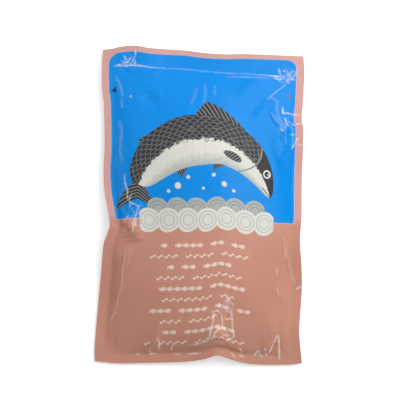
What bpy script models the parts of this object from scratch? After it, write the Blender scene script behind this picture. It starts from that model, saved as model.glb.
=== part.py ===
"""A sealed pouch of wet cat food, lying on its back as it comes to rest on a table.

The pack is two printed film panels, heat-sealed together all round and filled, so it is one closed body.
It is made from a flat blank, a thin box of the pouch's cut size, which the fill then pushes out of flat.
Units are metres, +Z is up, +Y runs to the top seal and +X to the right of the printed face.
"""

import math

import bmesh
import bpy
from mathutils import Vector, noise

# The flat pouch, before it is filled
POUCH_WIDTH = 0.0955
POUCH_LENGTH = 0.147
FILM_THICKNESS = 0.00012
SIDE_SEAL = 0.005
TOP_SEAL = 0.0085
BOTTOM_SEAL = 0.0045

# The fill
FILL_DEPTH = 0.0142
SIDE_ROUNDNESS = 2.1
SIDE_SHARPNESS = 0.9
TOP_RAMP = 0.048
TOP_SHARPNESS = 0.5
BOTTOM_RAMP = 0.032
BOTTOM_SHARPNESS = 0.38
CONTACT_RUN = 0.019
EDGE_BLEND = 0.00125
CHUNK_SIZE = 0.017
CHUNK_RISE = 0.0006

# The tear slits, one in each side seal
TEAR_SLIT_DROP = 0.0208
TEAR_SLIT_DEPTH = 0.003
TEAR_SLIT_WIDTH = 0.0003

# The mesh
MESH_PITCH = 0.0024
SMOOTH_ANGLE = math.radians(50)

# How far the fill draws each cut edge in from the flat outline: share of the way along the edge, draw-in.
# The sides run from the bottom up, and the ends from left to right.
LEFT_DRAW_IN = (
    (0.00, 0.0003),
    (0.03, 0.0),
    (0.13, 0.0007),
    (0.28, 0.0022),
    (0.37, 0.0031),
    (0.40, 0.0045),
    (0.43, 0.0057),
    (0.48, 0.0045),
    (0.53, 0.0030),
    (0.60, 0.0022),
    (0.68, 0.0024),
    (0.83, 0.0014),
    (0.87, 0.0005),
    (0.95, 0.0002),
    (1.00, 0.0004),
)
RIGHT_DRAW_IN = (
    (0.00, 0.0002),
    (0.09, 0.0018),
    (0.12, 0.0018),
    (0.24, 0.0006),
    (0.31, 0.0011),
    (0.39, 0.0021),
    (0.47, 0.0014),
    (0.57, 0.0013),
    (0.75, 0.0007),
    (0.79, 0.0015),
    (0.85, 0.0008),
    (0.95, 0.0),
    (1.00, 0.0005),
)
BOTTOM_DRAW_IN = (
    (0.00, 0.0008),
    (0.10, 0.0),
    (0.22, 0.0002),
    (0.40, 0.0009),
    (0.49, 0.0018),
    (0.54, 0.0030),
    (0.58, 0.0043),
    (0.62, 0.0034),
    (0.66, 0.0021),
    (0.72, 0.0007),
    (0.79, 0.0001),
    (0.93, 0.0001),
    (1.00, 0.0008),
)
TOP_DRAW_IN = (
    (0.00, 0.0021),
    (0.05, 0.0016),
    (0.08, 0.0008),
    (0.16, 0.0001),
    (0.23, 0.0009),
    (0.40, 0.0013),
    (0.49, 0.0022),
    (0.60, 0.0027),
    (0.70, 0.0023),
    (1.00, 0.0023),
)

# How high each cut edge lies above the table, along the same shares
LEFT_HEIGHT = ((0.00, 0.0012), (0.20, 0.0016), (0.43, 0.0062), (0.58, 0.0042), (0.85, 0.0034), (1.00, 0.0022))
RIGHT_HEIGHT = (
    (0.00, 0.0012),
    (0.10, 0.0030),
    (0.24, 0.0022),
    (0.38, 0.0050),
    (0.60, 0.0040),
    (0.79, 0.0050),
    (0.92, 0.0028),
    (1.00, 0.0022),
)
BOTTOM_HEIGHT = (
    (0.00, 0.0012),
    (0.28, 0.0018),
    (0.46, 0.0034),
    (0.58, 0.0066),
    (0.70, 0.0028),
    (0.82, 0.0014),
    (1.00, 0.0012),
)
TOP_HEIGHT = ((0.00, 0.0022), (0.16, 0.0040), (0.35, 0.0026), (0.70, 0.0032), (1.00, 0.0022))

# Folds in the printed panel: from and to, as shares of the flat width and length, then rise and half width
FOLDS = (
    ((0.135, 0.350), (0.100, 0.225), 0.0009, 0.0022),
    ((0.100, 0.225), (0.060, 0.110), 0.0007, 0.0022),
    ((0.060, 0.445), (0.170, 0.395), 0.0012, 0.0026),
    ((0.060, 0.405), (0.140, 0.370), -0.0009, 0.0030),
    ((0.125, 0.590), (0.165, 0.480), 0.0008, 0.0020),
    ((0.110, 0.915), (0.270, 0.800), -0.0010, 0.0034),
    ((0.230, 0.925), (0.330, 0.850), 0.0007, 0.0026),
    ((0.890, 0.910), (0.730, 0.800), -0.0011, 0.0034),
    ((0.780, 0.925), (0.690, 0.860), 0.0007, 0.0026),
    ((0.875, 0.420), (0.890, 0.210), 0.0008, 0.0022),
    ((0.930, 0.775), (0.860, 0.720), 0.0008, 0.0022),
    ((0.925, 0.720), (0.870, 0.650), 0.0009, 0.0022),
    ((0.590, 0.040), (0.570, 0.150), 0.0015, 0.0036),
    ((0.640, 0.050), (0.625, 0.210), -0.0008, 0.0030),
    ((0.820, 0.035), (0.865, 0.120), 0.0012, 0.0022),
    ((0.260, 0.035), (0.300, 0.100), 0.0008, 0.0022),
    ((0.130, 0.080), (0.060, 0.040), -0.0007, 0.0030),
    ((0.870, 0.080), (0.940, 0.040), -0.0007, 0.0030),
)


def curve_value(points, share):
    """The value at this share of the way along, on a smooth curve through the points."""
    last = len(points) - 1
    i = 0
    while i < last - 1 and share > points[i + 1][0]:
        i += 1
    (x0, y0), (x1, y1) = points[i], points[i + 1]

    def slope(k):
        before, after = points[max(k - 1, 0)], points[min(k + 1, last)]
        return (after[1] - before[1]) / (after[0] - before[0])

    run = x1 - x0
    t = (share - x0) / run
    return (
        (1 + 2 * t) * (1 - t) ** 2 * y0
        + t * (1 - t) ** 2 * run * slope(i)
        + t * t * (3 - 2 * t) * y1
        - t * t * (1 - t) * run * slope(i + 1)
    )


def ease(t):
    """0 at 0 and 1 at 1, flat at both ends."""
    t = min(max(t, 0.0), 1.0)
    return t * t * (3 - 2 * t)


def outline_point(across, along):
    """Where a point of the flat film lies in plan once the edges are drawn in, from the pouch's middle."""
    left = curve_value(LEFT_DRAW_IN, along)
    right = POUCH_WIDTH - curve_value(RIGHT_DRAW_IN, along)
    low = curve_value(BOTTOM_DRAW_IN, across)
    high = POUCH_LENGTH - curve_value(TOP_DRAW_IN, across)
    return (
        left + (right - left) * across - POUCH_WIDTH / 2,
        low + (high - low) * along - POUCH_LENGTH / 2,
    )


def edge_height(across, along):
    """The height that the cut edges give the film here: the nearest edge counts most."""
    edges = (
        (curve_value(LEFT_HEIGHT, along), across * POUCH_WIDTH),
        (curve_value(RIGHT_HEIGHT, along), (1 - across) * POUCH_WIDTH),
        (curve_value(BOTTOM_HEIGHT, across), along * POUCH_LENGTH),
        (curve_value(TOP_HEIGHT, across), (1 - along) * POUCH_LENGTH),
    )
    weights = [1 / (distance + EDGE_BLEND) ** 2 for _, distance in edges]
    return sum(w * height for w, (height, _) in zip(weights, edges)) / sum(weights)


def seal_distances(across, along):
    """How far a point of the film lies inside the side seals, the top seal and the bottom seal."""
    side = min(across, 1 - across) * POUCH_WIDTH - SIDE_SEAL
    top = (1 - along) * POUCH_LENGTH - TOP_SEAL
    bottom = along * POUCH_LENGTH - BOTTOM_SEAL
    return side, top, bottom


def fill_depth(across, along):
    """How deep the food lies between the two panels here."""
    side, top, bottom = seal_distances(across, along)
    if min(side, top, bottom) <= 0:
        return 0.0
    half_width = POUCH_WIDTH / 2 - SIDE_SEAL
    over = 1 - (1 - min(side / half_width, 1.0)) ** SIDE_ROUNDNESS
    ends = ease(top / TOP_RAMP) ** TOP_SHARPNESS * ease(bottom / BOTTOM_RAMP) ** BOTTOM_SHARPNESS
    return FILL_DEPTH * over**SIDE_SHARPNESS * ends


def grounding(across, along):
    """How far the back panel has come down onto the table here: 0 at the seals, 1 where it lies flat."""
    together = 1.0
    for inside in seal_distances(across, along):
        together *= ease(inside / CONTACT_RUN)
    return together


def fold_rise(across, along):
    """How far the folds of the printed panel lift it here."""
    here = Vector((across * POUCH_WIDTH, along * POUCH_LENGTH))
    total = 0.0
    for start, end, rise, half_width in FOLDS:
        a = Vector((start[0] * POUCH_WIDTH, start[1] * POUCH_LENGTH))
        b = Vector((end[0] * POUCH_WIDTH, end[1] * POUCH_LENGTH))
        t = min(max((here - a).dot(b - a) / (b - a).length_squared, 0.0), 1.0)
        distance = (here - a.lerp(b, t)).length
        total += rise * math.exp(-((distance / half_width) ** 2))
    return total


def chunk_rise(across, along, inside):
    """The low, soft lumps that chunks of food raise in the printed panel."""
    at = Vector((across * POUCH_WIDTH, along * POUCH_LENGTH, 0.0)) / CHUNK_SIZE
    return CHUNK_RISE * noise.noise(at) * ease(inside / CHUNK_SIZE)


def film_height(across, along, printed_side):
    """The height of the outer surface of one panel above the table."""
    back = edge_height(across, along) * (1 - grounding(across, along))
    if not printed_side:
        return back
    inside = min(seal_distances(across, along))
    food = fill_depth(across, along)
    # Folds and lumps need loose film, so they fade out at the seals.
    loose = ease(inside / SIDE_SEAL) if food > 0 else 0.0
    shape = fold_rise(across, along) * loose + chunk_rise(across, along, inside)
    return back + 2 * FILM_THICKNESS + max(food + shape, 0.0)


def mesh_lines(length, low_seal, high_seal):
    """Where the blank is divided: on the seals' inner edges, halfway over each seal, and evenly between."""
    free = length - low_seal - high_seal
    count = max(4, round(free / MESH_PITCH))
    between = [low_seal + free * i / count for i in range(count + 1)]
    return [low_seal / 2, *between, length - high_seal / 2]


def flat_blank():
    """The flat pouch: a box as thick as its two films, divided for forming."""
    blank = bmesh.new()
    bmesh.ops.create_cube(blank, size=1.0)
    bmesh.ops.scale(blank, vec=(POUCH_WIDTH, POUCH_LENGTH, 2 * FILM_THICKNESS), verts=blank.verts)
    across = [x - POUCH_WIDTH / 2 for x in mesh_lines(POUCH_WIDTH, SIDE_SEAL, SIDE_SEAL)]
    along = [y - POUCH_LENGTH / 2 for y in mesh_lines(POUCH_LENGTH, BOTTOM_SEAL, TOP_SEAL)]
    cuts = [((x, 0, 0), (1, 0, 0)) for x in across] + [((0, y, 0), (0, 1, 0)) for y in along]
    for place, normal in cuts:
        everything = blank.verts[:] + blank.edges[:] + blank.faces[:]
        bmesh.ops.bisect_plane(blank, geom=everything, plane_co=place, plane_no=normal)
    return blank


def formed(x, y, printed_side):
    """Where a point of the flat blank goes when the pouch is filled and laid down."""
    across = x / POUCH_WIDTH + 0.5
    along = y / POUCH_LENGTH + 0.5
    plan_x, plan_y = outline_point(across, along)
    return Vector((plan_x, plan_y, film_height(across, along, printed_side)))


def middle_in_plan(points):
    """The centre of the formed pouch's bounding box, on the table."""
    xs = [p.x for p in points]
    ys = [p.y for p in points]
    return Vector(((min(xs) + max(xs)) / 2, (min(ys) + max(ys)) / 2, 0.0))


def printed_film():
    material = bpy.data.materials.new("printed_film")
    material.use_nodes = True
    surface = material.node_tree.nodes["Principled BSDF"]
    surface.inputs["Base Color"].default_value = (0.56, 0.26, 0.19, 1.0)
    surface.inputs["Roughness"].default_value = 0.3
    surface.inputs["Metallic"].default_value = 0.0
    return material


def collection_named(name):
    made = bpy.data.collections.new(name)
    bpy.context.scene.collection.children.link(made)
    return made


def tear_slit_cutter(name, side, centre, cutters):
    """A thin blade through one side seal: side is -1 for the left edge and 1 for the right."""
    y = POUCH_LENGTH / 2 - TEAR_SLIT_DROP
    edge = formed(side * POUCH_WIDTH / 2, y, False) - centre
    bpy.ops.mesh.primitive_cube_add(size=1.0, location=edge)
    blade = bpy.context.object
    blade.name = name
    blade.scale = (2 * TEAR_SLIT_DEPTH, TEAR_SLIT_WIDTH, 4 * SIDE_SEAL)
    blade.hide_render = True
    blade.display_type = "WIRE"
    for home in blade.users_collection:
        home.objects.unlink(blade)
    cutters.objects.link(blade)
    return blade


def build_pouch():
    blank = flat_blank()
    points = [formed(v.co.x, v.co.y, v.co.z > 0) for v in blank.verts]
    centre = middle_in_plan(points)
    for vertex, point in zip(blank.verts, points):
        vertex.co = point - centre
    mesh = bpy.data.meshes.new("pouch")
    blank.to_mesh(mesh)
    blank.free()
    mesh.shade_smooth()
    mesh.set_sharp_from_angle(angle=SMOOTH_ANGLE)
    mesh.materials.append(printed_film())
    pouch = bpy.data.objects.new("pouch", mesh)
    collection_named("wet_food_pouch").objects.link(pouch)
    cutters = collection_named("cutters")
    for name, side in (("left_tear_slit", -1), ("right_tear_slit", 1)):
        cut = pouch.modifiers.new(name, "BOOLEAN")
        cut.operation = "DIFFERENCE"
        cut.object = tear_slit_cutter(name + "_cutter", side, centre, cutters)
    return pouch


def main():
    for existing in list(bpy.data.objects):
        bpy.data.objects.remove(existing, do_unlink=True)
    build_pouch()


main()
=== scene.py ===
import math
import random

import bmesh
import bpy
import numpy as np
from mathutils import Matrix, Vector
from mathutils.bvhtree import BVHTree
from mathutils.kdtree import KDTree


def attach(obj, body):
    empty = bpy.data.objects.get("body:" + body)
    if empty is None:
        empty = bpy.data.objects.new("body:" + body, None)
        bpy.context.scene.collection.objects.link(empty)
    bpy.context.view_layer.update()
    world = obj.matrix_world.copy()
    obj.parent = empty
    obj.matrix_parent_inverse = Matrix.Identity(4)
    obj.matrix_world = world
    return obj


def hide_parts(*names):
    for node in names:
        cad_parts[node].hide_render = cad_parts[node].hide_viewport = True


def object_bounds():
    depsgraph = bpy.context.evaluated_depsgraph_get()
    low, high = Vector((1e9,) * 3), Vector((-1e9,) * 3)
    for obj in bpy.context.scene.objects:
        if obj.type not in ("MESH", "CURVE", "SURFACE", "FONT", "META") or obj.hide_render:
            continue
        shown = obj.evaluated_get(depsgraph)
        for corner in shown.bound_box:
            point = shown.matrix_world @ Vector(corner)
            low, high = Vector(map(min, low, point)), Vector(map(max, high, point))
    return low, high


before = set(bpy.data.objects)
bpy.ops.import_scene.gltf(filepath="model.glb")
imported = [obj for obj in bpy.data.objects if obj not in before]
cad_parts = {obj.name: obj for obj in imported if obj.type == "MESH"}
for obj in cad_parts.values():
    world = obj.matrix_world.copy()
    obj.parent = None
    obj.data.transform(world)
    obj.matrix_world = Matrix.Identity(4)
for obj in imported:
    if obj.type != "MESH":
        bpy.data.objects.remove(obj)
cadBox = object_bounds()

mm = 0.001

# The flat film that both panels are cut from, and how finely it is meshed
film = {
    "width": 95.5 * mm,
    "length": 147 * mm,
    "sideSeal": 5 * mm,
    "topSeal": 8.5 * mm,
    "bottomSeal": 4.5 * mm,
    "laminate": 0.12 * mm,
    "cell": 1.12 * mm,  # halved on the front panel, and once more beside its creases
}

# Cut edges drawn in by the fill: share of the way along, draw-in in mm. Sides run upwards, ends to the right.
drawIn = {
    "left": (
        (0.00, 0.3), (0.03, 0.0), (0.13, 0.7), (0.28, 2.2), (0.37, 3.1), (0.40, 4.5), (0.43, 5.7),
        (0.48, 4.5), (0.53, 3.0), (0.60, 2.2), (0.68, 2.4), (0.83, 1.4), (0.87, 0.5), (0.95, 0.2),
        (1.00, 0.4),
    ),
    "right": (
        (0.00, 0.2), (0.09, 1.8), (0.12, 1.8), (0.24, 0.6), (0.31, 1.1), (0.39, 2.1), (0.47, 1.4),
        (0.57, 1.3), (0.75, 0.7), (0.79, 1.5), (0.85, 0.8), (0.95, 0.0), (1.00, 0.5),
    ),
    "bottom": (
        (0.00, 0.8), (0.10, 0.0), (0.22, 0.2), (0.40, 0.9), (0.49, 1.8), (0.54, 3.0), (0.58, 4.3),
        (0.62, 3.4), (0.66, 2.1), (0.72, 0.7), (0.79, 0.1), (0.93, 0.1), (1.00, 0.8),
    ),
    "top": (
        (0.00, 2.1), (0.05, 1.6), (0.08, 0.8), (0.16, 0.1), (0.23, 0.9), (0.40, 1.3), (0.49, 2.2),
        (0.60, 2.7), (0.70, 2.3), (1.00, 2.3),
    ),
}


def curveThrough(points, shares):
    # a smooth curve through a few points, read at many shares
    xs = np.array([p[0] for p in points])
    ys = np.array([p[1] for p in points])
    slopes = np.empty(len(xs))
    slopes[1:-1] = (ys[2:] - ys[:-2]) / (xs[2:] - xs[:-2])
    slopes[0] = (ys[1] - ys[0]) / (xs[1] - xs[0])
    slopes[-1] = (ys[-1] - ys[-2]) / (xs[-1] - xs[-2])
    i = np.clip(np.searchsorted(xs, shares, side="right") - 1, 0, len(xs) - 2)
    run = xs[i + 1] - xs[i]
    t = (shares - xs[i]) / run
    return (
        (1 + 2 * t) * (1 - t) ** 2 * ys[i]
        + t * (1 - t) ** 2 * run * slopes[i]
        + t * t * (3 - 2 * t) * ys[i + 1]
        - t * t * (1 - t) * run * slopes[i + 1]
    )


def ease(t):
    t = np.clip(t, 0, 1)
    return t * t * (3 - 2 * t)


def filmLines(length, lowSeal, highSeal):
    # where the film is divided: evenly over each seal and evenly between them
    def even(start, end):
        count = max(2, round((end - start) / film["cell"]))
        return np.linspace(start, end, count + 1)

    low = even(0, lowSeal)
    middle = even(lowSeal, length - highSeal)
    high = even(length - highSeal, length)
    return np.concatenate([low[:-1], middle, high[1:]])


def outlineInPlan(u, v):
    # from a point of the flat film to its place in plan, with the edges drawn in
    across = u / film["width"]
    along = v / film["length"]
    left = curveThrough(drawIn["left"], along) * mm
    right = film["width"] - curveThrough(drawIn["right"], along) * mm
    low = curveThrough(drawIn["bottom"], across) * mm
    high = film["length"] - curveThrough(drawIn["top"], across) * mm
    x = left + (right - left) * across - film["width"] / 2
    y = low + (high - low) * along - film["length"] / 2
    return x, y


def sealInside(u, v):
    # how far a point of the film lies inside the nearest seal: less than 0 on a seal
    side = np.minimum(u, film["width"] - u) - film["sideSeal"]
    top = film["length"] - v - film["topSeal"]
    bottom = v - film["bottomSeal"]
    return np.minimum(side, np.minimum(top, bottom))


def solidHeights(x, y):
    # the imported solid's upper and lower surface over each point in plan
    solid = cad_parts["pouch"].data
    tree = BVHTree.FromPolygons([v.co for v in solid.vertices], [p.vertices for p in solid.polygons])
    above = cadBox[1][2] + 10 * mm
    inset = 0.3 * mm
    upper = np.empty(x.size)
    lower = np.empty(x.size)
    for i, (px, py) in enumerate(zip(x.ravel(), y.ravel())):
        px -= math.copysign(inset, px)
        py -= math.copysign(inset, py)
        down = tree.ray_cast(Vector((px, py, above)), Vector((0, 0, -1)))[0]
        up = tree.ray_cast(Vector((px, py, -above)), Vector((0, 0, 1)))[0]
        if down is None or up is None:
            near = tree.find_nearest(Vector((px, py, 2 * mm)))[0]
            upper[i] = near.z + film["laminate"]
            lower[i] = near.z - film["laminate"]
        else:
            upper[i] = down.z
            lower[i] = up.z
    return upper.reshape(x.shape), lower.reshape(x.shape)


# How the loose front panel settles over the food
settling = {
    "scale": 10,  # cloth behaves better at ten times the size
    "filledShare": 0.95,  # the film's own shape: 0 is the flat cut, 1 the filled form
    "slack": 1.001,  # how much more film there is than the form needs
    "closing": 8,  # frames in which the seals reach their place
    "frames": 40,
    "pressure": 8.0,
    "tension": 60.0,
    "shear": 30.0,
    "bending": 0.3,
    "mass": 0.15,
    "widest": 6,  # creases up to about this many cells across are kept
    "mostRise": 1.0 * mm,  # and none moves the film further than this
}


def gridFaces(rows, columns, start=0, flip=False):
    faces = []
    for j in range(rows - 1):
        for i in range(columns - 1):
            a = start + j * columns + i
            face = (a, a + 1, a + columns + 1, a + columns)
            faces.append(face[::-1] if flip else face)
    return faces


def settleFrontPanel(points, flat, hold):
    # lets the front film relax over the food: cloth with the seals held and the fill pressing from below
    rows, columns = points.shape[:2]
    scale = settling["scale"]
    relaxed = points * settling["filledShare"] + flat * (1 - settling["filledShare"])
    mesh = bpy.data.meshes.new("settling")
    start = relaxed.reshape(-1, 3) * scale * settling["slack"]
    mesh.from_pydata(start.tolist(), [], gridFaces(rows, columns))
    sheet = bpy.data.objects.new("settling", mesh)
    bpy.context.scene.collection.objects.link(sheet)
    sheet.shape_key_add(name="relaxed")
    filled = sheet.shape_key_add(name="filled")
    filled.data.foreach_set("co", (points.reshape(-1, 3) * scale).ravel())
    for step, value in ((1, 0), (settling["closing"], 1)):
        filled.value = value
        filled.keyframe_insert("value", frame=step)
    held = sheet.vertex_groups.new(name="held")
    held.add(np.flatnonzero(hold.ravel()).tolist(), 1, "REPLACE")
    modifier = sheet.modifiers.new("film", "CLOTH")
    cloth = modifier.settings
    cloth.quality = 6
    cloth.mass = settling["mass"]
    cloth.tension_stiffness = settling["tension"]
    cloth.compression_stiffness = settling["tension"]
    cloth.shear_stiffness = settling["shear"]
    cloth.bending_stiffness = settling["bending"]
    cloth.air_damping = 2
    cloth.use_pressure = True
    cloth.uniform_pressure_force = settling["pressure"]
    cloth.vertex_group_mass = "held"
    cloth.effector_weights.gravity = 0
    modifier.collision_settings.use_collision = False
    modifier.collision_settings.use_self_collision = False
    modifier.point_cache.frame_start = 1
    modifier.point_cache.frame_end = settling["frames"]
    for step in range(1, settling["frames"] + 1):
        bpy.context.scene.frame_set(step)
    settled = sheet.evaluated_get(bpy.context.evaluated_depsgraph_get()).data
    result = np.empty(len(settled.vertices) * 3)
    settled.vertices.foreach_get("co", result)
    mesh.shape_keys.animation_data_clear()
    bpy.data.objects.remove(sheet)
    bpy.data.meshes.remove(mesh)
    for action in list(bpy.data.actions):
        bpy.data.actions.remove(action)
    bpy.context.scene.frame_set(1)
    return result.reshape(rows, columns, 3) / scale


def blurred(grid, reach):
    # every point as a soft average of its neighbours, up to a few times reach away
    steps = np.arange(-3 * reach, 3 * reach + 1)
    weights = np.exp(-0.5 * (steps / reach) ** 2)
    weights /= weights.sum()
    for axis in (0, 1):
        padding = [(0, 0)] * grid.ndim
        padding[axis] = (3 * reach, 3 * reach)
        padded = np.pad(grid, padding, mode="edge")
        size = grid.shape[axis]
        grid = sum(w * np.take(padded, range(i, i + size), axis=axis) for i, w in enumerate(weights))
    return grid


def creasedForm(form, settled):
    # the solid's own form with the settled film's creases on it
    moved = settled - form
    detail = moved - blurred(moved, settling["widest"])
    size = np.linalg.norm(detail, axis=-1, keepdims=True)
    most = settling["mostRise"]
    return form + detail * np.tanh(size / most) * most / np.maximum(size, 0.001 * mm)


def buildFilm():
    # both panels as grids of (u, v, x, y, z)
    columns = filmLines(film["width"], film["sideSeal"], film["sideSeal"])
    rows = filmLines(film["length"], film["bottomSeal"], film["topSeal"])
    u, v = np.meshgrid(columns, rows)
    x, y = outlineInPlan(u, v)
    upper, lower = solidHeights(x, y)
    front = np.stack([x, y, upper], axis=-1)
    back = np.stack([x, y, lower], axis=-1)
    print("film divided:", u.shape[1], "by", u.shape[0])
    restHeight = 3 * mm
    flat = np.stack([u - film["width"] / 2, v - film["length"] / 2, 0 * u + restHeight], axis=-1)
    hold = sealInside(u, v) < 0.1 * mm
    settled = settleFrontPanel(front, flat, hold)
    front = creasedForm(front, settled)
    print("front panel settled: top at", round(front[..., 2].max() / mm, 1), "mm")
    place = np.stack([u, v], axis=-1)
    return np.concatenate([place, front], axis=-1), np.concatenate([place, back], axis=-1)


def halved(grid):
    # a point between each two along both axes, on a smooth curve through their neighbours
    for axis in (0, 1):
        grid = np.moveaxis(grid, axis, 0)
        padded = np.concatenate([2 * grid[:1] - grid[1:2], grid, 2 * grid[-1:] - grid[-2:-1]])
        between = (9 * (padded[1:-2] + padded[2:-1]) - padded[:-3] - padded[3:]) / 16
        finer = np.empty((2 * len(grid) - 1,) + grid.shape[1:])
        finer[::2] = grid
        finer[1::2] = between
        grid = np.moveaxis(finer, 0, axis)
    return grid


# Creases in the front film, as routes in mm from its lower left corner. Rise is how far a crest stands out,
# less than 0 for a valley, half is half its width at the foot, and the last value is how pale it is painted
# along it: partly ink gone pale from wear, partly a painted glint.
creases = {
    "sealEnds": {
        "rise": 0.26,
        "half": 0.6,
        "worn": 0.85,
        "routes": (
            ((6, 138.4), (12, 137.6), (21, 137.9)),
            ((78, 136.8), (83, 136.9)),
        ),
    },
    "sealBeside": {
        "rise": 0.25,
        "half": 0.6,
        "worn": 0.36,
        "routes": (
            ((19, 137.9), (30, 137.6)),
            ((71, 137.0), (79, 136.8)),
        ),
    },
    "seal": {
        "rise": 0.24,
        "half": 0.6,
        "worn": 0.18,
        "routes": (
            ((28, 137.6), (48, 137.8), (60, 137.3), (73, 137.0)),
            ((58, 135.6), (69, 135.3), (80, 135.4)),
        ),
    },
    "sharp": {
        "rise": 0.28,
        "half": 0.55,
        "worn": 0.9,
        "routes": (
            ((81, 135.5), (82, 136.5), (85.5, 136.5), (86, 135.5), (82.5, 135), (81, 135.5)),
            ((87, 133.5), (88, 136.5), (89, 139), (90.5, 139.5)),
            ((87, 138.5), (88.5, 137), (90.5, 135)),
            ((10.5, 138.5), (12, 139.5), (13, 141)),
            ((15.2, 144.5), (15.6, 142.8)),
            ((14.6, 140.5), (14.2, 139), (12.8, 138.2)),
            ((85.5, 121.5), (86, 118), (88, 118.5), (91, 118), (94.5, 117.5)),
            ((87, 113.5), (88.5, 112)),
            ((88.5, 114.5), (89, 113.5)),
            ((92, 113), (95, 113.5)),
            ((83, 111), (84, 110), (85.5, 109.5)),
            ((89, 108), (91.5, 108.3)),
            ((93, 107), (91.5, 104), (89.5, 101)),
            ((92.5, 103.5), (95, 103)),
            ((10, 86), (10, 82.5), (11, 79), (10.5, 74.5)),
            ((13, 77), (11, 74), (12.5, 72.5), (15.5, 71), (15, 69.5), (13, 66.5), (11.5, 63.5), (12.5, 60)),
            ((13, 66), (13, 62)),
            ((12.6, 122.4), (13.3, 123.2), (13.5, 122.2)),
            ((28.5, 12), (29.5, 9), (29.5, 6)),
            ((25.5, 6.5), (25.5, 4), (28.5, 4.5)),
            ((19, 4), (20.5, 4)),
            ((35.5, 8.5), (35, 5.5)),
            ((36, 4), (39.5, 3.5)),
            ((43, 3.5), (48, 3)),
            ((58.5, 26.5), (60, 27), (62, 26.5), (62, 24)),
            ((66.5, 6.5), (68, 5)),
            ((66, 3), (68.5, 3)),
            ((73.5, 4), (75.5, 6.5), (76.5, 4), (77.5, 3.5)),
            ((78.5, 7.5), (79.5, 4)),
            ((92.5, 35), (95, 36)),
        ),
    },
    "ridge": {
        "rise": 0.30,
        "half": 0.6,
        "worn": 1.0,
        "routes": (
            (
                (57, 20.5), (56, 21.5), (53.5, 21.5), (54, 17.5), (53, 13), (52.5, 10), (51.5, 8), (48.5, 8),
                (44, 7.5),
            ),
            ((57.5, 20), (58.5, 16), (58.5, 14), (54.5, 11), (53.5, 8)),
            ((60.5, 24.5), (62, 22), (62.5, 19.5), (63.5, 14), (64, 11.5), (60.5, 8.5)),
            ((85, 14), (83.5, 11.5), (80.5, 5.5)),
            ((85.5, 13.5), (85.5, 6.5), (85, 2)),
        ),
    },
    "line": {
        "rise": 0.24,
        "half": 0.55,
        "worn": 0.36,
        "routes": (
            ((11, 52), (11, 49), (10, 43), (10, 34), (9, 31.5), (9, 27.5), (8, 23.5), (6.5, 19), (6, 17)),
            ((83, 45.5), (83, 41.5)),
            ((83, 36), (84, 31.5)),
            ((8.5, 122), (8.5, 118)),
            ((87, 133), (82.5, 129), (78, 124.5)),
        ),
    },
    "soft": {
        "rise": 0.20,
        "half": 1.2,
        "worn": 0.12,
        "routes": (
            ((79, 126), (82.5, 124), (82.8, 119), (84, 115.5), (86, 112)),
            ((79.5, 118.5), (82, 115.5), (84.5, 112), (86, 108), (86.5, 103)),
            ((88.5, 113.5), (90, 111), (90.5, 106), (89.5, 102)),
            ((6.5, 133), (8.5, 128), (9, 123)),
            ((7, 112), (8, 106), (7, 98), (8.5, 92)),
            ((86.5, 60), (87.5, 54), (86.5, 48)),
            ((88, 56), (88.5, 50), (89.5, 44), (92, 38)),
        ),
    },
    "pucker": {
        "rise": 0.16,
        "half": 1.1,
        "worn": 0.07,
        "routes": (
            ((48, 131), (48.5, 126), (47, 121)),
            ((53, 130.5), (52.5, 125)),
            ((44.5, 129), (43, 124), (41, 120)),
        ),
    },
    "valley": {
        "rise": -0.40,
        "half": 2.4,
        "worn": 0.0,
        "routes": (
            ((9.5, 136), (11.5, 134.5), (14, 133), (18, 134.5)),
            ((79, 120.5), (80, 114), (82.5, 111), (86, 107), (86.5, 100)),
            ((1, 65.5), (2, 65), (6, 62.5), (11.5, 59)),
            ((89, 53), (88.5, 47.5), (89, 41)),
            ((59.5, 5.5), (62.5, 4), (66, 3.5)),
            ((86, 58), (86.5, 50), (87, 44)),
            ((83, 12), (83, 7), (82.5, 3)),
        ),
    },
}

# Patches where the front film is crumpled: middle, reach and rise in mm, and how many short folds lie in them
crumples = {
    "topLeft": {"middle": (12, 139), "reach": 5.0, "rise": 0.26, "folds": 11},
    "topRight": {"middle": (87.5, 137), "reach": 5.0, "rise": 0.28, "folds": 15},
    "rightUpper": {"middle": (88, 115), "reach": 5.0, "rise": 0.14, "folds": 3},
    "rightLower": {"middle": (91, 105), "reach": 3.0, "rise": 0.10, "folds": 0},
    "leftKink": {"middle": (12.5, 68), "reach": 5.0, "rise": 0.22, "folds": 8},
    "crown": {"middle": (60, 25), "reach": 3.8, "rise": 0.30, "folds": 22},
    "waist": {"middle": (58, 13), "reach": 4.0, "rise": 0.16, "folds": 4},
    "bottomRight": {"middle": (75, 4.5), "reach": 4.5, "rise": 0.14, "folds": 1},
    "bottomMiddle": {"middle": (66, 4), "reach": 4.0, "rise": 0.14, "folds": 1},
    "bottomLeft": {"middle": (30, 6), "reach": 4.5, "rise": 0.12, "folds": 0},
}
shortFold = {
    "seed": 11,
    "half": 0.5,
    # how pale the fold's crest is painted: ink gone pale from wear and a painted glint
    "worn": 0.9,
    "step": (0.5, 1.2),  # shortest and longest of its three straight parts
    "bend": 0.3,  # most that it turns between two parts, in radians
}


# How closely creases are followed and where the mesh is finer for them, in mm
finer = {
    "drawn": 0.8,  # between the points of a crease
    "sought": 0.3,  # between the points that the mesh is made finer round
    "within": 1.2,
    "crumpled": 0.05,  # and wherever the film is crumpled more than this
}


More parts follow.
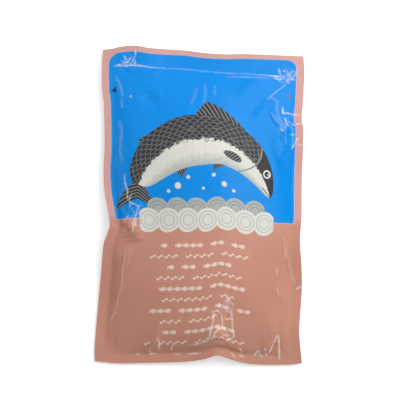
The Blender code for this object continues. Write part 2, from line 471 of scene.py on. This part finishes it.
def foldRoutes():
    # short bent folds, scattered over each crumpled patch
    chance = random.Random(shortFold["seed"])
    for patch in crumples.values():
        for _ in range(patch["folds"]):
            around = chance.uniform(0, 2 * math.pi)
            away = patch["reach"] * 0.8 * math.sqrt(chance.random())
            u = patch["middle"][0] + away * math.cos(around)
            v = patch["middle"][1] + away * math.sin(around)
            aim = chance.uniform(0, 2 * math.pi)
            route = [(u, v)]
            for _ in range(3):
                step = chance.uniform(*shortFold["step"])
                aim += chance.uniform(-shortFold["bend"], shortFold["bend"])
                u += step * math.cos(aim)
                v += step * math.sin(aim)
                route.append((u, v))
            yield route, patch["rise"], shortFold["half"], shortFold["worn"] * chance.uniform(0.3, 1.0)


def everyRoute():
    # each crease's route, rise, half width and painted paleness: ink gone pale from wear and a painted glint
    named = [(route, k["rise"], k["half"], k["worn"]) for k in creases.values() for route in k["routes"]]
    return named + list(foldRoutes())


def onFilm(grid, u, v):
    # the place of a point of the flat film, given in m
    columns = grid[0, :, 0]
    rows = grid[:, 0, 1]
    i = int(np.clip(np.searchsorted(columns, u) - 1, 0, len(columns) - 2))
    j = int(np.clip(np.searchsorted(rows, v) - 1, 0, len(rows) - 2))
    s = (u - columns[i]) / (columns[i + 1] - columns[i])
    t = (v - rows[j]) / (rows[j + 1] - rows[j])
    low = grid[j, i, 2:] * (1 - s) + grid[j, i + 1, 2:] * s
    high = grid[j + 1, i, 2:] * (1 - s) + grid[j + 1, i + 1, 2:] * s
    return low * (1 - t) + high * t


def routePoints(route, spacing):
    # points along a route, each with its share of the way
    ends = np.array(route, float)
    steps = np.linalg.norm(ends[1:] - ends[:-1], axis=1)
    reached = np.concatenate([[0], np.cumsum(steps)])
    share = np.linspace(0, 1, max(4, round(reached[-1] / spacing)))
    u = np.interp(share * reached[-1], reached, ends[:, 0])
    v = np.interp(share * reached[-1], reached, ends[:, 1])
    return list(zip(u, v, share))


def creaseRoutes(grid):
    # every crease as edges that lie on the front film, with its rise, half width and painted paleness on its
    # points
    points, edges = [], []
    values = {"rise": [], "half": [], "worn": []}
    for route, rise, half, worn in everyRoute():
        start = len(points)
        for u, v, share in routePoints(route, finer["drawn"]):
            fade = min(1, 0.3 + 8 * share * (1 - share))  # less at both ends
            points.append(onFilm(grid, u * mm, v * mm))
            values["rise"].append(rise * fade)
            values["half"].append(half)
            values["worn"].append(worn * fade)
        edges += [(i, i + 1) for i in range(start, len(points) - 1)]
    mesh = bpy.data.meshes.new("creaseRoutes")
    mesh.from_pydata([tuple(p) for p in points], edges, [])
    for name, numbers in values.items():
        mesh.attributes.new(name, "FLOAT", "POINT").data.foreach_set("value", numbers)
    routes = bpy.data.objects.new("creaseRoutes", mesh)
    bpy.context.scene.collection.objects.link(routes)
    return routes


def rimOf(rows, columns):
    # a grid's outer points in turn, anticlockwise
    low = list(range(columns - 1))
    right = [j * columns + columns - 1 for j in range(rows - 1)]
    high = [(rows - 1) * columns + i for i in range(columns - 1, 0, -1)]
    left = [j * columns for j in range(rows - 1, 0, -1)]
    return low + right + high + left


def crumpleOver(place):
    # how far each point of the film is crumpled, in mm
    amount = np.zeros(len(place))
    for patch in crumples.values():
        away = np.linalg.norm(place - np.array(patch["middle"]), axis=1)
        amount = np.maximum(amount, patch["rise"] * ease(1.3 * (1 - away / patch["reach"])))
    return amount


def closedPouch(front, back):
    # both panels sealed into one skin, finer on the front and finest beside its creases
    front = halved(front)
    count = front.shape[0] * front.shape[1]
    faces = gridFaces(*front.shape[:2]) + gridFaces(*back.shape[:2], count, flip=True)
    fineRim = rimOf(*front.shape[:2])
    coarseRim = [count + i for i in rimOf(*back.shape[:2])]
    for k, a in enumerate(coarseRim):
        b = coarseRim[(k + 1) % len(coarseRim)]
        here, between, there = (fineRim[(2 * k + step) % len(fineRim)] for step in (0, 1, 2))
        faces.append((here, a, b, there, between))
    points = np.concatenate([front.reshape(-1, 5), back.reshape(-1, 5)])
    mesh = bpy.data.meshes.new("pouchFilm")
    mesh.from_pydata(points[:, 2:].tolist(), [], faces)
    corner = np.empty(len(mesh.loops), int)
    mesh.loops.foreach_get("vertex_index", corner)
    place = points[:, :2] / mm
    mesh.uv_layers.new(name="film").data.foreach_set("uv", place[corner].astype(np.float32).ravel())
    onBack = np.arange(len(points)) >= count
    inSeal = sealInside(points[:, 0], points[:, 1]) < 0.5 * mm
    # on a seal the back film moves with the front
    follows = np.where(onBack, np.where(inSeal, -1.0, 0.0), 1.0)
    crumpled = crumpleOver(place)
    for name, values in (("backSide", onBack.astype(float)), ("follows", follows), ("crumple", crumpled)):
        mesh.attributes.new(name, "FLOAT", "POINT").data.foreach_set("value", values.astype(np.float32))
    mesh.shade_smooth()
    mesh.set_sharp_from_angle(angle=math.radians(60))
    refineBesideCreases(mesh, place, follows != 0, crumpled > finer["crumpled"])
    pouch = bpy.data.objects.new("pouchFilm", mesh)
    bpy.context.scene.collection.objects.link(pouch)
    return pouch


def refineBesideCreases(mesh, place, moves, crumpled):
    # halves the faces that lie near a sharp crease
    sharp = [p for route, rise, *_ in everyRoute() if rise > 0 for p in routePoints(route, finer["sought"])]
    tree = KDTree(len(sharp))
    for i, (u, v, _) in enumerate(sharp):
        tree.insert((u, v, 0), i)
    tree.balance()
    near = np.array([tree.find((u, v, 0))[2] < finer["within"] for u, v in place]) | crumpled
    near &= moves
    shape = bmesh.new()
    shape.from_mesh(mesh)
    edges = [e for e in shape.edges if near[e.verts[0].index] and near[e.verts[1].index]]
    bmesh.ops.subdivide_edges(shape, edges=edges, cuts=1, use_grid_fill=True)
    shape.to_mesh(mesh)
    shape.free()
    print("film closed:", len(mesh.polygons), "faces")


def put(tree, kind, inputs=None, **settings):
    # a node with its settings and what feeds it
    node = tree.nodes.new(kind)
    for name, value in settings.items():
        setattr(node, name, value)
    for key, value in (inputs or {}).items():
        feed(tree, node.inputs[key], value)
    return node


def feed(tree, socket, value):
    if isinstance(value, Field):
        value = value.socket
    if isinstance(value, bpy.types.NodeSocket):
        tree.links.new(value, socket)
    else:
        socket.default_value = value


class Field:
    # a number that varies over a surface: arithmetic on it adds Math nodes to its tree
    def __init__(self, tree, socket):
        self.tree = tree
        self.socket = socket

    def math(self, operation, *others, clamp=False):
        inputs = dict(enumerate((self, *others)))
        node = put(self.tree, "ShaderNodeMath", inputs, operation=operation, use_clamp=clamp)
        return Field(self.tree, node.outputs[0])

    def __add__(self, other):
        return self.math("ADD", other)

    def __sub__(self, other):
        return self.math("SUBTRACT", other)

    def __rsub__(self, other):
        return self.math("MULTIPLY_ADD", -1.0, other)

    def __mul__(self, other):
        return self.math("MULTIPLY", other)

    def __truediv__(self, other):
        return self.math("DIVIDE", other)

    def __rtruediv__(self, other):
        return self.math("POWER", -1.0) * other

    def __pow__(self, other):
        return self.math("POWER", other)

    def __abs__(self):
        return self.math("ABSOLUTE")

    def __neg__(self):
        return self * -1.0

    __radd__ = __add__

    def cut(self):
        # kept between 0 and 1
        return self.math("ADD", 0.0, clamp=True)

    def least(self, other):
        return self.math("MINIMUM", other)

    def most(self, other):
        return self.math("MAXIMUM", other)


# How a crease is shaped, and how its pale line is broken up: painted glint and ink gone pale from wear
crest = {
    "sampled": 0.2 * mm,  # between the points that a crease is read from
    "bendScale": 420.0,  # of the noise that sends a crease astray
    "sharpness": 1.5,
    "foldSlope": 2.2,  # of the facets in a crumpled patch
    "foldLevel": 0.4,  # share of a facet's rise that lies below the film
    "breakScale": 900.0,  # of the noise that breaks the pale ink up
    "pale": (1.3, 1.4),  # strength on the crest, and how much of it is gone at half its width
    # the noise's low end and contrast, then the spread of the strength and its least
    "uneven": (0.34, 5.0, 0.6, 0.45),
    # pale painted on crumpled facets' edges, glint and wear: low end and contrast on the facets' edges,
    # the same in the noise, and the strength
    "facetWearAndGlint": (0.72, 6.0, 0.52, 12.0, 1.1),
}


def creaseTree():
    # pushes the film out or in along the nearest crease, and crumples its patches
    tree = bpy.data.node_groups.new("creaseFilm", "GeometryNodeTree")
    face = tree.interface
    face.new_socket("Geometry", in_out="INPUT", socket_type="NodeSocketGeometry")
    face.new_socket("Creases", in_out="INPUT", socket_type="NodeSocketObject")
    for name in ("Rise", "Wander", "Facet"):
        face.new_socket(name, in_out="INPUT", socket_type="NodeSocketFloat")
    face.new_socket("Film", in_out="INPUT", socket_type="NodeSocketMaterial")
    face.new_socket("Geometry", in_out="OUTPUT", socket_type="NodeSocketGeometry")
    given = put(tree, "NodeGroupInput").outputs
    place = put(tree, "GeometryNodeInputPosition").outputs[0]

    def attribute(name):
        node = put(tree, "GeometryNodeInputNamedAttribute", {"Name": name}, data_type="FLOAT")
        return Field(tree, node.outputs[0])

    def vector(operation, *values, scale=None):
        inputs = dict(enumerate(values))
        if scale is not None:
            inputs["Scale"] = scale
        return put(tree, "ShaderNodeVectorMath", inputs, operation=operation).outputs

    routes = put(tree, "GeometryNodeObjectInfo", {"Object": given["Creases"]}).outputs["Geometry"]
    curves = put(tree, "GeometryNodeMeshToCurve", {"Mesh": routes}).outputs[0]
    inputs = {"Curve": curves, "Length": crest["sampled"]}
    even = put(tree, "GeometryNodeResampleCurve", inputs, mode="LENGTH").outputs[0]
    points = put(tree, "GeometryNodeCurveToPoints", {"Curve": even}, mode="EVALUATED").outputs["Points"]
    inputs = {"Vector": place, "Scale": crest["bendScale"], "Detail": 2.0}
    noise = put(tree, "ShaderNodeTexNoise", inputs).outputs["Color"]
    astray = vector("SUBTRACT", noise, (0.5, 0.5, 0.5))["Vector"]
    wander = Field(tree, given["Wander"]) * (2 * mm)
    moved = vector("ADD", place, vector("SCALE", astray, scale=wander)["Vector"])["Vector"]
    inputs = {"Geometry": points, "Sample Position": moved}
    nearest = put(tree, "GeometryNodeSampleNearest", inputs, domain="POINT").outputs["Index"]

    def sampled(value, kind):
        node = put(tree, "GeometryNodeSampleIndex", data_type=kind, domain="POINT")
        for name, source in (("Geometry", points), ("Value", value), ("Index", nearest)):
            feed(tree, node.inputs[name], source)
        return node.outputs["Value"]

    onCrease = sampled(put(tree, "GeometryNodeInputPosition").outputs[0], "FLOAT_VECTOR")
    rise = Field(tree, sampled(attribute("rise"), "FLOAT"))
    half = Field(tree, sampled(attribute("half"), "FLOAT"))
    worn = Field(tree, sampled(attribute("worn"), "FLOAT"))
    away = Field(tree, vector("DISTANCE", moved, onCrease)["Value"]) / mm
    closeness = (1.0 - away / half).cut()
    ridge = rise * closeness ** crest["sharpness"]

    facet = vector("SCALE", moved, scale=1.0 / (Field(tree, given["Facet"]) * mm))["Vector"]
    cells = put(tree, "ShaderNodeTexVoronoi", {"Vector": facet, "Scale": 1.0}, feature="DISTANCE_TO_EDGE")
    fold = (1.0 - Field(tree, cells.outputs["Distance"]) * crest["foldSlope"]).cut()
    crumple = attribute("crumple")
    raised = ridge + crumple * (fold - crest["foldLevel"])
    height = raised * Field(tree, given["Rise"]) * mm * attribute("follows")
    normal = put(tree, "GeometryNodeInputNormal").outputs[0]
    offset = vector("SCALE", normal, scale=height)["Vector"]
    inputs = {"Geometry": given["Geometry"], "Offset": offset}
    shaped = put(tree, "GeometryNodeSetPosition", inputs).outputs[0]
    inputs = {"Vector": place, "Scale": crest["breakScale"], "Detail": 1.0}
    patchy = Field(tree, put(tree, "ShaderNodeTexNoise", inputs).outputs["Fac"])
    low, contrast, spread, least = crest["uneven"]
    uneven = ((patchy - low) * contrast).cut() * spread + least
    # pale marks painted on the edges of crumpled facets: painted glints and ink gone pale from wear
    foldsFrom, foldContrast, spotsFrom, spotContrast, strength = crest["facetWearAndGlint"]
    onFolds = ((fold - foldsFrom) * foldContrast).cut()
    facetWearAndGlint = crumple * onFolds * ((patchy - spotsFrom) * spotContrast).cut() * strength
    core, fall = crest["pale"]
    # pale painted on crests and crumpled facets' edges: partly ink gone pale from wear, partly painted glints
    creased = ((core - away / half * fall).cut() * worn * uneven + facetWearAndGlint).cut()
    inputs = {"Geometry": shaped, "Name": "creased", "Value": creased}
    kept = put(tree, "GeometryNodeStoreNamedAttribute", inputs, data_type="FLOAT", domain="POINT").outputs[0]
    real = put(tree, "GeometryNodeRealizeInstances", {"Geometry": kept}).outputs[0]
    dressed = put(tree, "GeometryNodeSetMaterial", {"Geometry": real, "Material": given["Film"]}).outputs[0]
    put(tree, "NodeGroupOutput", {"Geometry": dressed})
    return tree


def creasePouch(pouch, routes, material):
    modifier = pouch.modifiers.new("creases", "NODES")
    modifier.node_group = creaseTree()
    values = {"Creases": routes, "Rise": 1.0, "Wander": 0.35, "Facet": 2.2, "Film": material}
    for item in modifier.node_group.interface.items_tree:
        if item.in_out == "INPUT" and item.name in values:
            modifier[item.identifier] = values[item.name]
    shaped = bpy.data.meshes.new_from_object(pouch.evaluated_get(bpy.context.evaluated_depsgraph_get()))
    pouch.modifiers.clear()
    pouch.data = shaped
    bpy.data.objects.remove(routes)
    triangles = sum(len(p.vertices) - 2 for p in shaped.polygons)
    print("film creased:", triangles, "triangles")


# Inks of the print, and where its parts lie, in mm from the film's lower left corner
inks = {
    "pink": (0.62, 0.295, 0.215),
    "border": (0.70, 0.38, 0.34),
    "blue": (0.002, 0.28, 0.83),
    "hairline": (0.62, 0.50, 0.52),
    "dark": (0.042, 0.042, 0.047),
    "grey": (0.26, 0.27, 0.27),
    "white": (0.76, 0.75, 0.68),
    "shade": (0.45, 0.48, 0.46),
    "cream": (0.86, 0.66, 0.56),
    "navy": (0.012, 0.02, 0.07),
    "rust": (0.30, 0.13, 0.11),
}
panel = {
    "left": 3.3,
    "right": 91.7,
    "low": 66.0,
    "high": 144.5,
    "corner": 4.2,
    "hairline": 0.3,
}
fish = {
    "middle": (47.5, 70.5),  # of the arc that it leaps along
    "radius": 32.5,
    "tailAt": 161,  # degrees round the arc
    "noseAt": 12,
    "girth": 11.0,
    "scale": 2.9,
    "eyeAt": (0.875, 2.7),  # share of its length, and how far towards its back
}
foam = {
    "middle": 48.0,
    "height": 65.2,
    "bubble": 5.6,
    "pitch": 9.4,
    "count": 7,
    "drops": (
        (35, 81, 1.5), (40, 85, 0.9), (57, 81.5, 1.3), (61.5, 79, 0.8), (52, 86, 0.9), (30.5, 78.5, 0.8),
        (47, 80, 0.7),
    ),
}
marks = {
    "middle": 47.5,
    "top": 56.0,
    "rowPitch": 4.94,
    "rows": 10,
    "pitch": 3.35,
    "halfRow": 19.5,
    "sway": 4.0,
    "gaps": 0.16,  # share of the marks that are left out
}
tear = {
    "height": 126.8,
    "left": (5.6, "navy", 0.9),
    "right": (88.6, "rust", 0.6),
}


class Print:
    # inks laid over one another on the flat film: a shape is a distance in mm, less than 0 inside it
    def __init__(self, tree, place, ground):
        self.tree = tree
        spot = put(tree, "ShaderNodeSeparateXYZ", {"Vector": place}).outputs
        self.u = Field(tree, spot["X"])
        self.v = Field(tree, spot["Y"])
        self.colour = self.ink(ground)

    def ink(self, name):
        return (*inks[name], 1.0) if isinstance(name, str) else name

    def mix(self, below, above, amount):
        inputs = {"Factor": amount, "A": self.ink(below), "B": self.ink(above)}
        return put(self.tree, "ShaderNodeMix", inputs, data_type="RGBA").outputs["Result"]

    def inside(self, shape, soft=0.12):
        return (0.5 - shape / (2 * soft)).cut()

    def lay(self, shape, name, strength=1.0, soft=0.12):
        amount = self.inside(shape, soft)
        if strength != 1.0:
            amount = amount * strength
        self.colour = self.mix(self.colour, name, amount)

    def length(self, x, y):
        return (x * x + y * y).math("SQRT")

    def disc(self, x, y, radius):
        return self.length(self.u - x, self.v - y) - radius

    def cell(self, value, pitch):
        # where a value lies in its cell, from the cell's middle
        return ((value / pitch).math("FRACT") - 0.5) * pitch

    def noise(self, x, y, scale, detail=2.0):
        spot = put(self.tree, "ShaderNodeCombineXYZ", {"X": x, "Y": y}).outputs[0]
        node = put(self.tree, "ShaderNodeTexNoise", {"Vector": spot, "Scale": scale, "Detail": detail})
        return Field(self.tree, node.outputs["Fac"]) - 0.5


def printPanel(film2d):
    # a blue panel with rounded upper corners and a hairline round it
    u, v = film2d.u, film2d.v
    corner = panel["corner"]
    middle = (panel["left"] + panel["right"]) / 2
    halfWidth = (panel["right"] - panel["left"]) / 2
    lean = (u - middle) * 0.006  # the top seal runs a little askew
    dx = abs(u - middle) - (halfWidth - corner)
    dy = v - lean - (panel["high"] - corner)
    rounded = film2d.length(dx.most(0.0), dy.most(0.0)) + dx.most(dy).least(0.0) - corner
    shape = rounded.most(panel["low"] - v)
    film2d.lay(panel["low"] - v, "border", soft=2.0)
    film2d.lay(shape - panel["hairline"], "hairline", 0.8)
    film2d.lay(shape, "blue")


def printFish(film2d):
    # a fish that leaps along an arc, drawn in distance along the arc and distance out from it
    length = fish["radius"] * math.radians(fish["tailAt"] - fish["noseAt"])
    dx = film2d.u - fish["middle"][0]
    dy = film2d.v - fish["middle"][1]
    turn = dy.math("ARCTAN2", dx)
    along = (math.radians(fish["tailAt"]) - turn) * fish["radius"]  # 0 at the tail's root
    share = along / length
    out = film2d.length(dx, dy) - fish["radius"]  # above 0 towards the back
    swell = ((share.cut() ** 0.82) * math.pi).math("SINE").most(0.0) ** 0.62
    girth = swell * fish["girth"] + (1.0 - share.cut()) * 2.0
    body = (abs(out) - girth).most(-along).most(along - length)

    # tail and fins, with rays
    behind = 2.0 - along
    tail = (abs(out) - (1.9 + behind * 0.72)).most(-behind).most(behind - (8.5 + abs(out) * 0.42))

    def fin(start, end, height, sweep, side):
        # stands off the back where side is 1 and off the belly where it is -1, swept towards the tail
        over = out * side - girth
        at = along + over * sweep
        rest = (at - start * length).least(end * length - at)
        return (over - (rest * 0.8).least(height)).most(-over - 1.5).most(-rest)

    fins = fin(0.44, 0.66, 7.0, 0.7, 1.0).least(fin(0.56, 0.66, 5.5, 1.1, -1.0))
    fins = fins.least(fin(0.22, 0.33, 5.0, 1.0, -1.0)).least(fin(0.17, 0.22, 2.5, 1.2, 1.0))
    rays = film2d.cell(along + abs(out) * 0.5, 1.5).math("ABSOLUTE") - 0.22
    finInk = film2d.mix("dark", "grey", film2d.inside(rays, 0.15))
    film2d.lay(tail.least(fins), finInk)

    # scales and pale strokes on the dark back, a white belly and a grey shadow under it
    size = fish["scale"]
    row = (out / (0.5 * size)).math("FLOOR")
    inRow = out - row * (0.5 * size)
    shift = row.math("FLOORED_MODULO", 2.0) * (0.5 * size)
    arc = abs(film2d.length(film2d.cell(along + shift, size), inRow) - 0.5 * size) - 0.14
    skin = film2d.mix("dark", "grey", film2d.inside(arc, 0.12) * 0.75)
    strokes = film2d.noise(along * 0.16, out * 1.1, 1.0, 3.0)
    skin = film2d.mix(skin, "grey", ((strokes - 0.10) * 9.0).cut() * 0.7)
    flank = out / girth + film2d.noise(along * 0.5, out * 0.5, 1.0) * 0.45
    skin = film2d.mix(skin, "white", ((0.06 - flank) * 12.0).cut())
    skin = film2d.mix(skin, "shade", ((-0.5 - flank) * 2.5).cut() * 0.8)

    # the head: a gill line, a mouth and an eye, and a fin behind it
    headLine = along - 0.80 * length + out * out * 0.05
    skin = film2d.mix(skin, "dark", film2d.inside(-headLine, 0.4) * ((flank - 0.02) * 12.0).cut())
    skin = film2d.mix(skin, "grey", film2d.inside(abs(headLine) - 0.4))
    mouth = (abs(out + (length - along) * 0.38) - 0.24).most(length - 6.0 - along)
    skin = film2d.mix(skin, "dark", film2d.inside(mouth))
    sideFin = film2d.length((along - 0.69 * length - out * 0.5) / 5.2, (out + 4.2) / 1.9) - 1.0
    skin = film2d.mix(skin, "dark", film2d.inside(sideFin))
    skin = film2d.mix(skin, finInk, film2d.inside(sideFin + 0.12))
    film2d.lay(body, skin)
    eyeAlong = along - fish["eyeAt"][0] * length
    eyeOut = out - fish["eyeAt"][1]
    eye = film2d.length(eyeAlong, eyeOut)
    film2d.lay(eye - 1.9, "white")
    film2d.lay(eye - 1.2, "dark")
    film2d.lay(film2d.length(eyeAlong - 0.4, eyeOut - 0.45) - 0.42, "white")


def printFoam(film2d):
    # two rows of ringed bubbles where the blue meets the pink, with drops above them
    def row(height, radius, pitch, count, ink, line):
        fromStart = film2d.u - foam["middle"] + 0.5 * count * pitch
        ring = film2d.length(film2d.cell(fromStart, pitch), film2d.v - height)
        ends = abs(film2d.u - foam["middle"]) - 0.5 * count * pitch
        film2d.lay((ring - radius).most(ends), ink)
        for inner in (0.72, 0.44):
            film2d.lay((abs(ring - radius * inner) - 0.22).most(ends), line, 0.8)

    bubble, pitch, count = foam["bubble"], foam["pitch"], foam["count"]
    row(foam["height"] + 0.9 * bubble, 0.95 * bubble, pitch, count - 1, "shade", "grey")
    row(foam["height"], bubble, pitch, count, "white", "shade")
    for u, v, size in foam["drops"]:
        film2d.lay(film2d.disc(u, v, size), "white")


def printMarks(film2d):
    # rows of small fish and of small waves on the pink
    pitch, rowPitch = marks["pitch"], marks["rowPitch"]
    fromTop = marks["top"] - film2d.v
    row = (fromTop / rowPitch).math("FLOOR")
    y = (row + 0.5) * rowPitch - fromTop
    odd = row.math("FLOORED_MODULO", 2.0)
    fromMiddle = film2d.u - marks["middle"] + odd * (0.5 * pitch)
    cell = (fromMiddle / pitch).math("FLOOR")
    middle = (cell + 0.5) * pitch
    x = fromMiddle - middle
    body = film2d.length((x - 0.3) / 1.15, y / 0.98) - 1.0
    tail = (abs(y) + (x + 0.55) * 0.9).most(-1.5 - x)
    small = body.least(tail)
    wave = (abs(y - ((x * (2 * math.pi / 2.7)).math("SINE")) * 0.55) - 0.42).most(abs(x) - 1.35)
    shape = wave * odd + small * (1.0 - odd)
    width = (row * 2.3).math("SINE") * marks["sway"] + marks["halfRow"]
    beyond = (abs(middle) - width).math("GREATER_THAN", 0.0)
    skipped = (cell * 0.381 + row * 0.27).math("FRACT").math("LESS_THAN", marks["gaps"])
    shape = shape + beyond * 9.0 + skipped * 9.0
    shape = shape.most(-(row + 0.5)).most(row - (marks["rows"] - 0.5))
    film2d.lay(shape, "cream")


def printTearMarks(film2d):
    # a small wedge beside each tear slit
    for key, side in (("left", 1.0), ("right", -1.0)):
        u, ink, strength = tear[key]
        away = (film2d.u - u) * side
        wedge = (abs(film2d.v - tear["height"]) - (away + 1.5) * 0.62).most(away - 0.9)
        film2d.lay(wedge, ink, strength)


def filmPrint():
    # the print of both panels: the back one has only the blue panel and its hairline
    tree = bpy.data.node_groups.new("filmPrint", "ShaderNodeTree")
    tree.interface.new_socket("Film", in_out="INPUT", socket_type="NodeSocketVector")
    for name in ("Front", "Back"):
        tree.interface.new_socket(name, in_out="OUTPUT", socket_type="NodeSocketColor")
    film2d = Print(tree, put(tree, "NodeGroupInput").outputs["Film"], "pink")
    printPanel(film2d)
    plain = film2d.colour
    printFish(film2d)
    printFoam(film2d)
    printMarks(film2d)
    printTearMarks(film2d)
    put(tree, "NodeGroupOutput", {"Front": film2d.colour, "Back": plain})
    return tree


# The laminate's gloss, its fine unevenness, and the pale painted on its creases: wear and painted glints
finish = {
    "pale": (1.0, 0.93, 0.88, 1.0),
    "paleShare": 0.85,  # the rest is the ink's own colour
    "roughness": 0.20,
    "smudges": 0.12,
    "smudgeScale": 60.0,
    "specular": 0.08,
    "coat": 0.08,
    "creaseCoat": 0.9,
    "coatRoughness": 0.08,
    "peel": 0.06,
    "peelScale": 380.0,
    "wrinkles": 2.0,
    "wrinkleScale": 1400.0,
    "bump": 0.8,
    "bumpDistance": 0.3 * mm,
}


def printedFilm():
    material = bpy.data.materials.new("printedFilm")
    material.use_nodes = True
    tree = material.node_tree
    surface = tree.nodes["Principled BSDF"]
    place = put(tree, "ShaderNodeUVMap", uv_map="film").outputs[0]
    shown = put(tree, "ShaderNodeGroup", node_tree=filmPrint())
    feed(tree, shown.inputs["Film"], place)
    onBack = Field(tree, put(tree, "ShaderNodeAttribute", attribute_name="backSide").outputs["Fac"])
    creased = Field(tree, put(tree, "ShaderNodeAttribute", attribute_name="creased").outputs["Fac"])
    crumple = Field(tree, put(tree, "ShaderNodeAttribute", attribute_name="crumple").outputs["Fac"])
    side = onBack.math("GREATER_THAN", 0.5)
    inputs = {"Factor": side, "A": shown.outputs["Front"], "B": shown.outputs["Back"]}
    colour = put(tree, "ShaderNodeMix", inputs, data_type="RGBA").outputs["Result"]
    # where the film is creased it is painted pale, partly as ink gone pale from wear and partly as a painted
    # glint, and keeps a little of its hue
    inputs = {"Factor": finish["paleShare"], "A": colour, "B": finish["pale"]}
    pale = put(tree, "ShaderNodeMix", inputs, data_type="RGBA").outputs["Result"]
    inputs = {"Factor": creased, "A": colour, "B": pale}
    colour = put(tree, "ShaderNodeMix", inputs, data_type="RGBA").outputs["Result"]
    feed(tree, surface.inputs["Base Color"], colour)

    solid = put(tree, "ShaderNodeTexCoord").outputs["Object"]
    inputs = {"Vector": solid, "Scale": finish["smudgeScale"]}
    smudges = Field(tree, put(tree, "ShaderNodeTexNoise", inputs).outputs["Fac"])
    feed(tree, surface.inputs["Roughness"], smudges * finish["smudges"] + finish["roughness"])
    surface.inputs["Specular IOR Level"].default_value = finish["specular"]
    feed(tree, surface.inputs["Coat Weight"], creased * finish["creaseCoat"] + finish["coat"])
    surface.inputs["Coat Roughness"].default_value = finish["coatRoughness"]
    # the fine unevenness of laminated film, and wrinkles too fine for the mesh
    inputs = {"Vector": solid, "Scale": finish["peelScale"]}
    peel = Field(tree, put(tree, "ShaderNodeTexNoise", inputs).outputs["Fac"])
    inputs = {"Vector": solid, "Scale": finish["wrinkleScale"]}
    cells = put(tree, "ShaderNodeTexVoronoi", inputs, feature="DISTANCE_TO_EDGE")
    fine = Field(tree, cells.outputs["Distance"])
    height = peel * finish["peel"] - fine.least(0.3) * crumple * finish["wrinkles"]
    inputs = {"Height": height, "Strength": finish["bump"], "Distance": finish["bumpDistance"]}
    bump = put(tree, "ShaderNodeBump", inputs)
    feed(tree, surface.inputs["Normal"], bump.outputs[0])
    return material


# The camera stands where the photograph was taken from, looking down on the pouch
view = {
    "place": (-0.02829, -0.03977, 0.44740),
    "right": (0.99788, 0.01539, 0.06322),
    "up": (-0.02116, 0.99556, 0.09172),
    "back": (-0.06153, -0.09286, 0.99378),
    "lens": 86.9,
    "sensor": 36,
}


def buildCamera():
    data = bpy.data.cameras.new("camera")
    data.lens = view["lens"]
    data.sensor_width = view["sensor"]
    camera = bpy.data.objects.new("camera", data)
    bpy.context.scene.collection.objects.link(camera)
    turn = Matrix((view["right"], view["up"], view["back"])).transposed()
    camera.matrix_world = Matrix.Translation(view["place"]) @ turn.to_4x4()
    bpy.context.scene.camera = camera


# Studio light: a broad soft lamp over the top edge, a nearer one up on the right, one from the lower right,
# and small ones low round the table that the creases reflect
lamps = {
    "top": {"place": (0.04, 0.28, 0.50), "size": (0.95, 0.65), "power": 1.9},
    "near": {"place": (0.20, 0.17, 0.32), "size": (0.34, 0.34), "power": 0.85},
    "right": {"place": (0.66, -0.24, 0.24), "size": (0.60, 0.36), "power": 0.7},
    "left": {"place": (-0.50, 0.10, 0.30), "size": (0.24, 0.24), "power": 0.35},
    "low": {"place": (0.10, -0.50, 0.30), "size": (0.24, 0.24), "power": 0.4},
    "far": {"place": (0.08, 0.62, 0.18), "size": (0.14, 0.08), "power": 0.4},
}
world = {
    "zenith": 0.10,
    "horizon": 0.22,
    "darkFrom": 0.6,  # height on the unit sphere above which it is darkest
}

# The pale table that the pouch lies on
tableTop = {
    "half": 6,
    "height": -0.1 * mm,  # just clear of the film, so that the two don't flicker
    "colour": (0.9, 0.9, 0.9, 1),
    "roughness": 0.9,
    "glow": 0.45,  # what the camera, mirrors and glass see on top of the lit table
}


def buildStage():
    half = tableTop["half"]
    height = tableTop["height"]
    corners = [(-half, -half, height), (half, -half, height), (half, half, height), (-half, half, height)]
    mesh = bpy.data.meshes.new("table")
    mesh.from_pydata(corners, [], [(0, 1, 2, 3)])
    table = bpy.data.objects.new("table", mesh)
    bpy.context.scene.collection.objects.link(table)
    material = bpy.data.materials.new("paleTable")
    material.use_nodes = True
    tree = material.node_tree
    surface = tree.nodes["Principled BSDF"]
    surface.inputs["Base Color"].default_value = tableTop["colour"]
    surface.inputs["Roughness"].default_value = tableTop["roughness"]
    surface.inputs["Specular IOR Level"].default_value = 0.0
    rays = put(tree, "ShaderNodeLightPath").outputs
    seen = Field(tree, rays["Is Camera Ray"]).most(rays["Is Glossy Ray"]).most(rays["Is Transmission Ray"])
    surface.inputs["Emission Strength"].default_value = 1.0
    glow = seen * tableTop["glow"]
    shown = put(tree, "ShaderNodeCombineColor", {"Red": glow, "Green": glow, "Blue": glow})
    feed(tree, surface.inputs["Emission Color"], shown.outputs[0])
    mesh.materials.append(material)


def buildLights():
    for name, lamp in lamps.items():
        data = bpy.data.lights.new(name, "AREA")
        data.shape = "RECTANGLE"
        data.size, data.size_y = lamp["size"]
        data.energy = lamp["power"]
        light = bpy.data.objects.new(name, data)
        light.location = lamp["place"]
        light.rotation_euler = (-Vector(lamp["place"])).to_track_quat("-Z", "Y").to_euler()
        bpy.context.scene.collection.objects.link(light)
    sky = bpy.data.worlds.new("studio")
    bpy.context.scene.world = sky
    sky.use_nodes = True
    tree = sky.node_tree
    aim = put(tree, "ShaderNodeTexCoord").outputs["Generated"]
    height = Field(tree, put(tree, "ShaderNodeSeparateXYZ", {"Vector": aim}).outputs["Z"])
    lowness = (1.0 - height / world["darkFrom"]).cut()
    level = world["zenith"] + lowness * (world["horizon"] - world["zenith"])
    backdrop = tree.nodes["Background"]
    backdrop.inputs["Color"].default_value = (1, 1, 1, 1)
    feed(tree, backdrop.inputs["Strength"], level)


buildCamera()
front, back = buildFilm()
pouch = closedPouch(front, back)
creasePouch(pouch, creaseRoutes(front), printedFilm())
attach(pouch, "root")
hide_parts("pouch")
buildStage()
buildLights()
bpy.context.scene.view_settings.view_transform = "Standard"
print("scene ready")
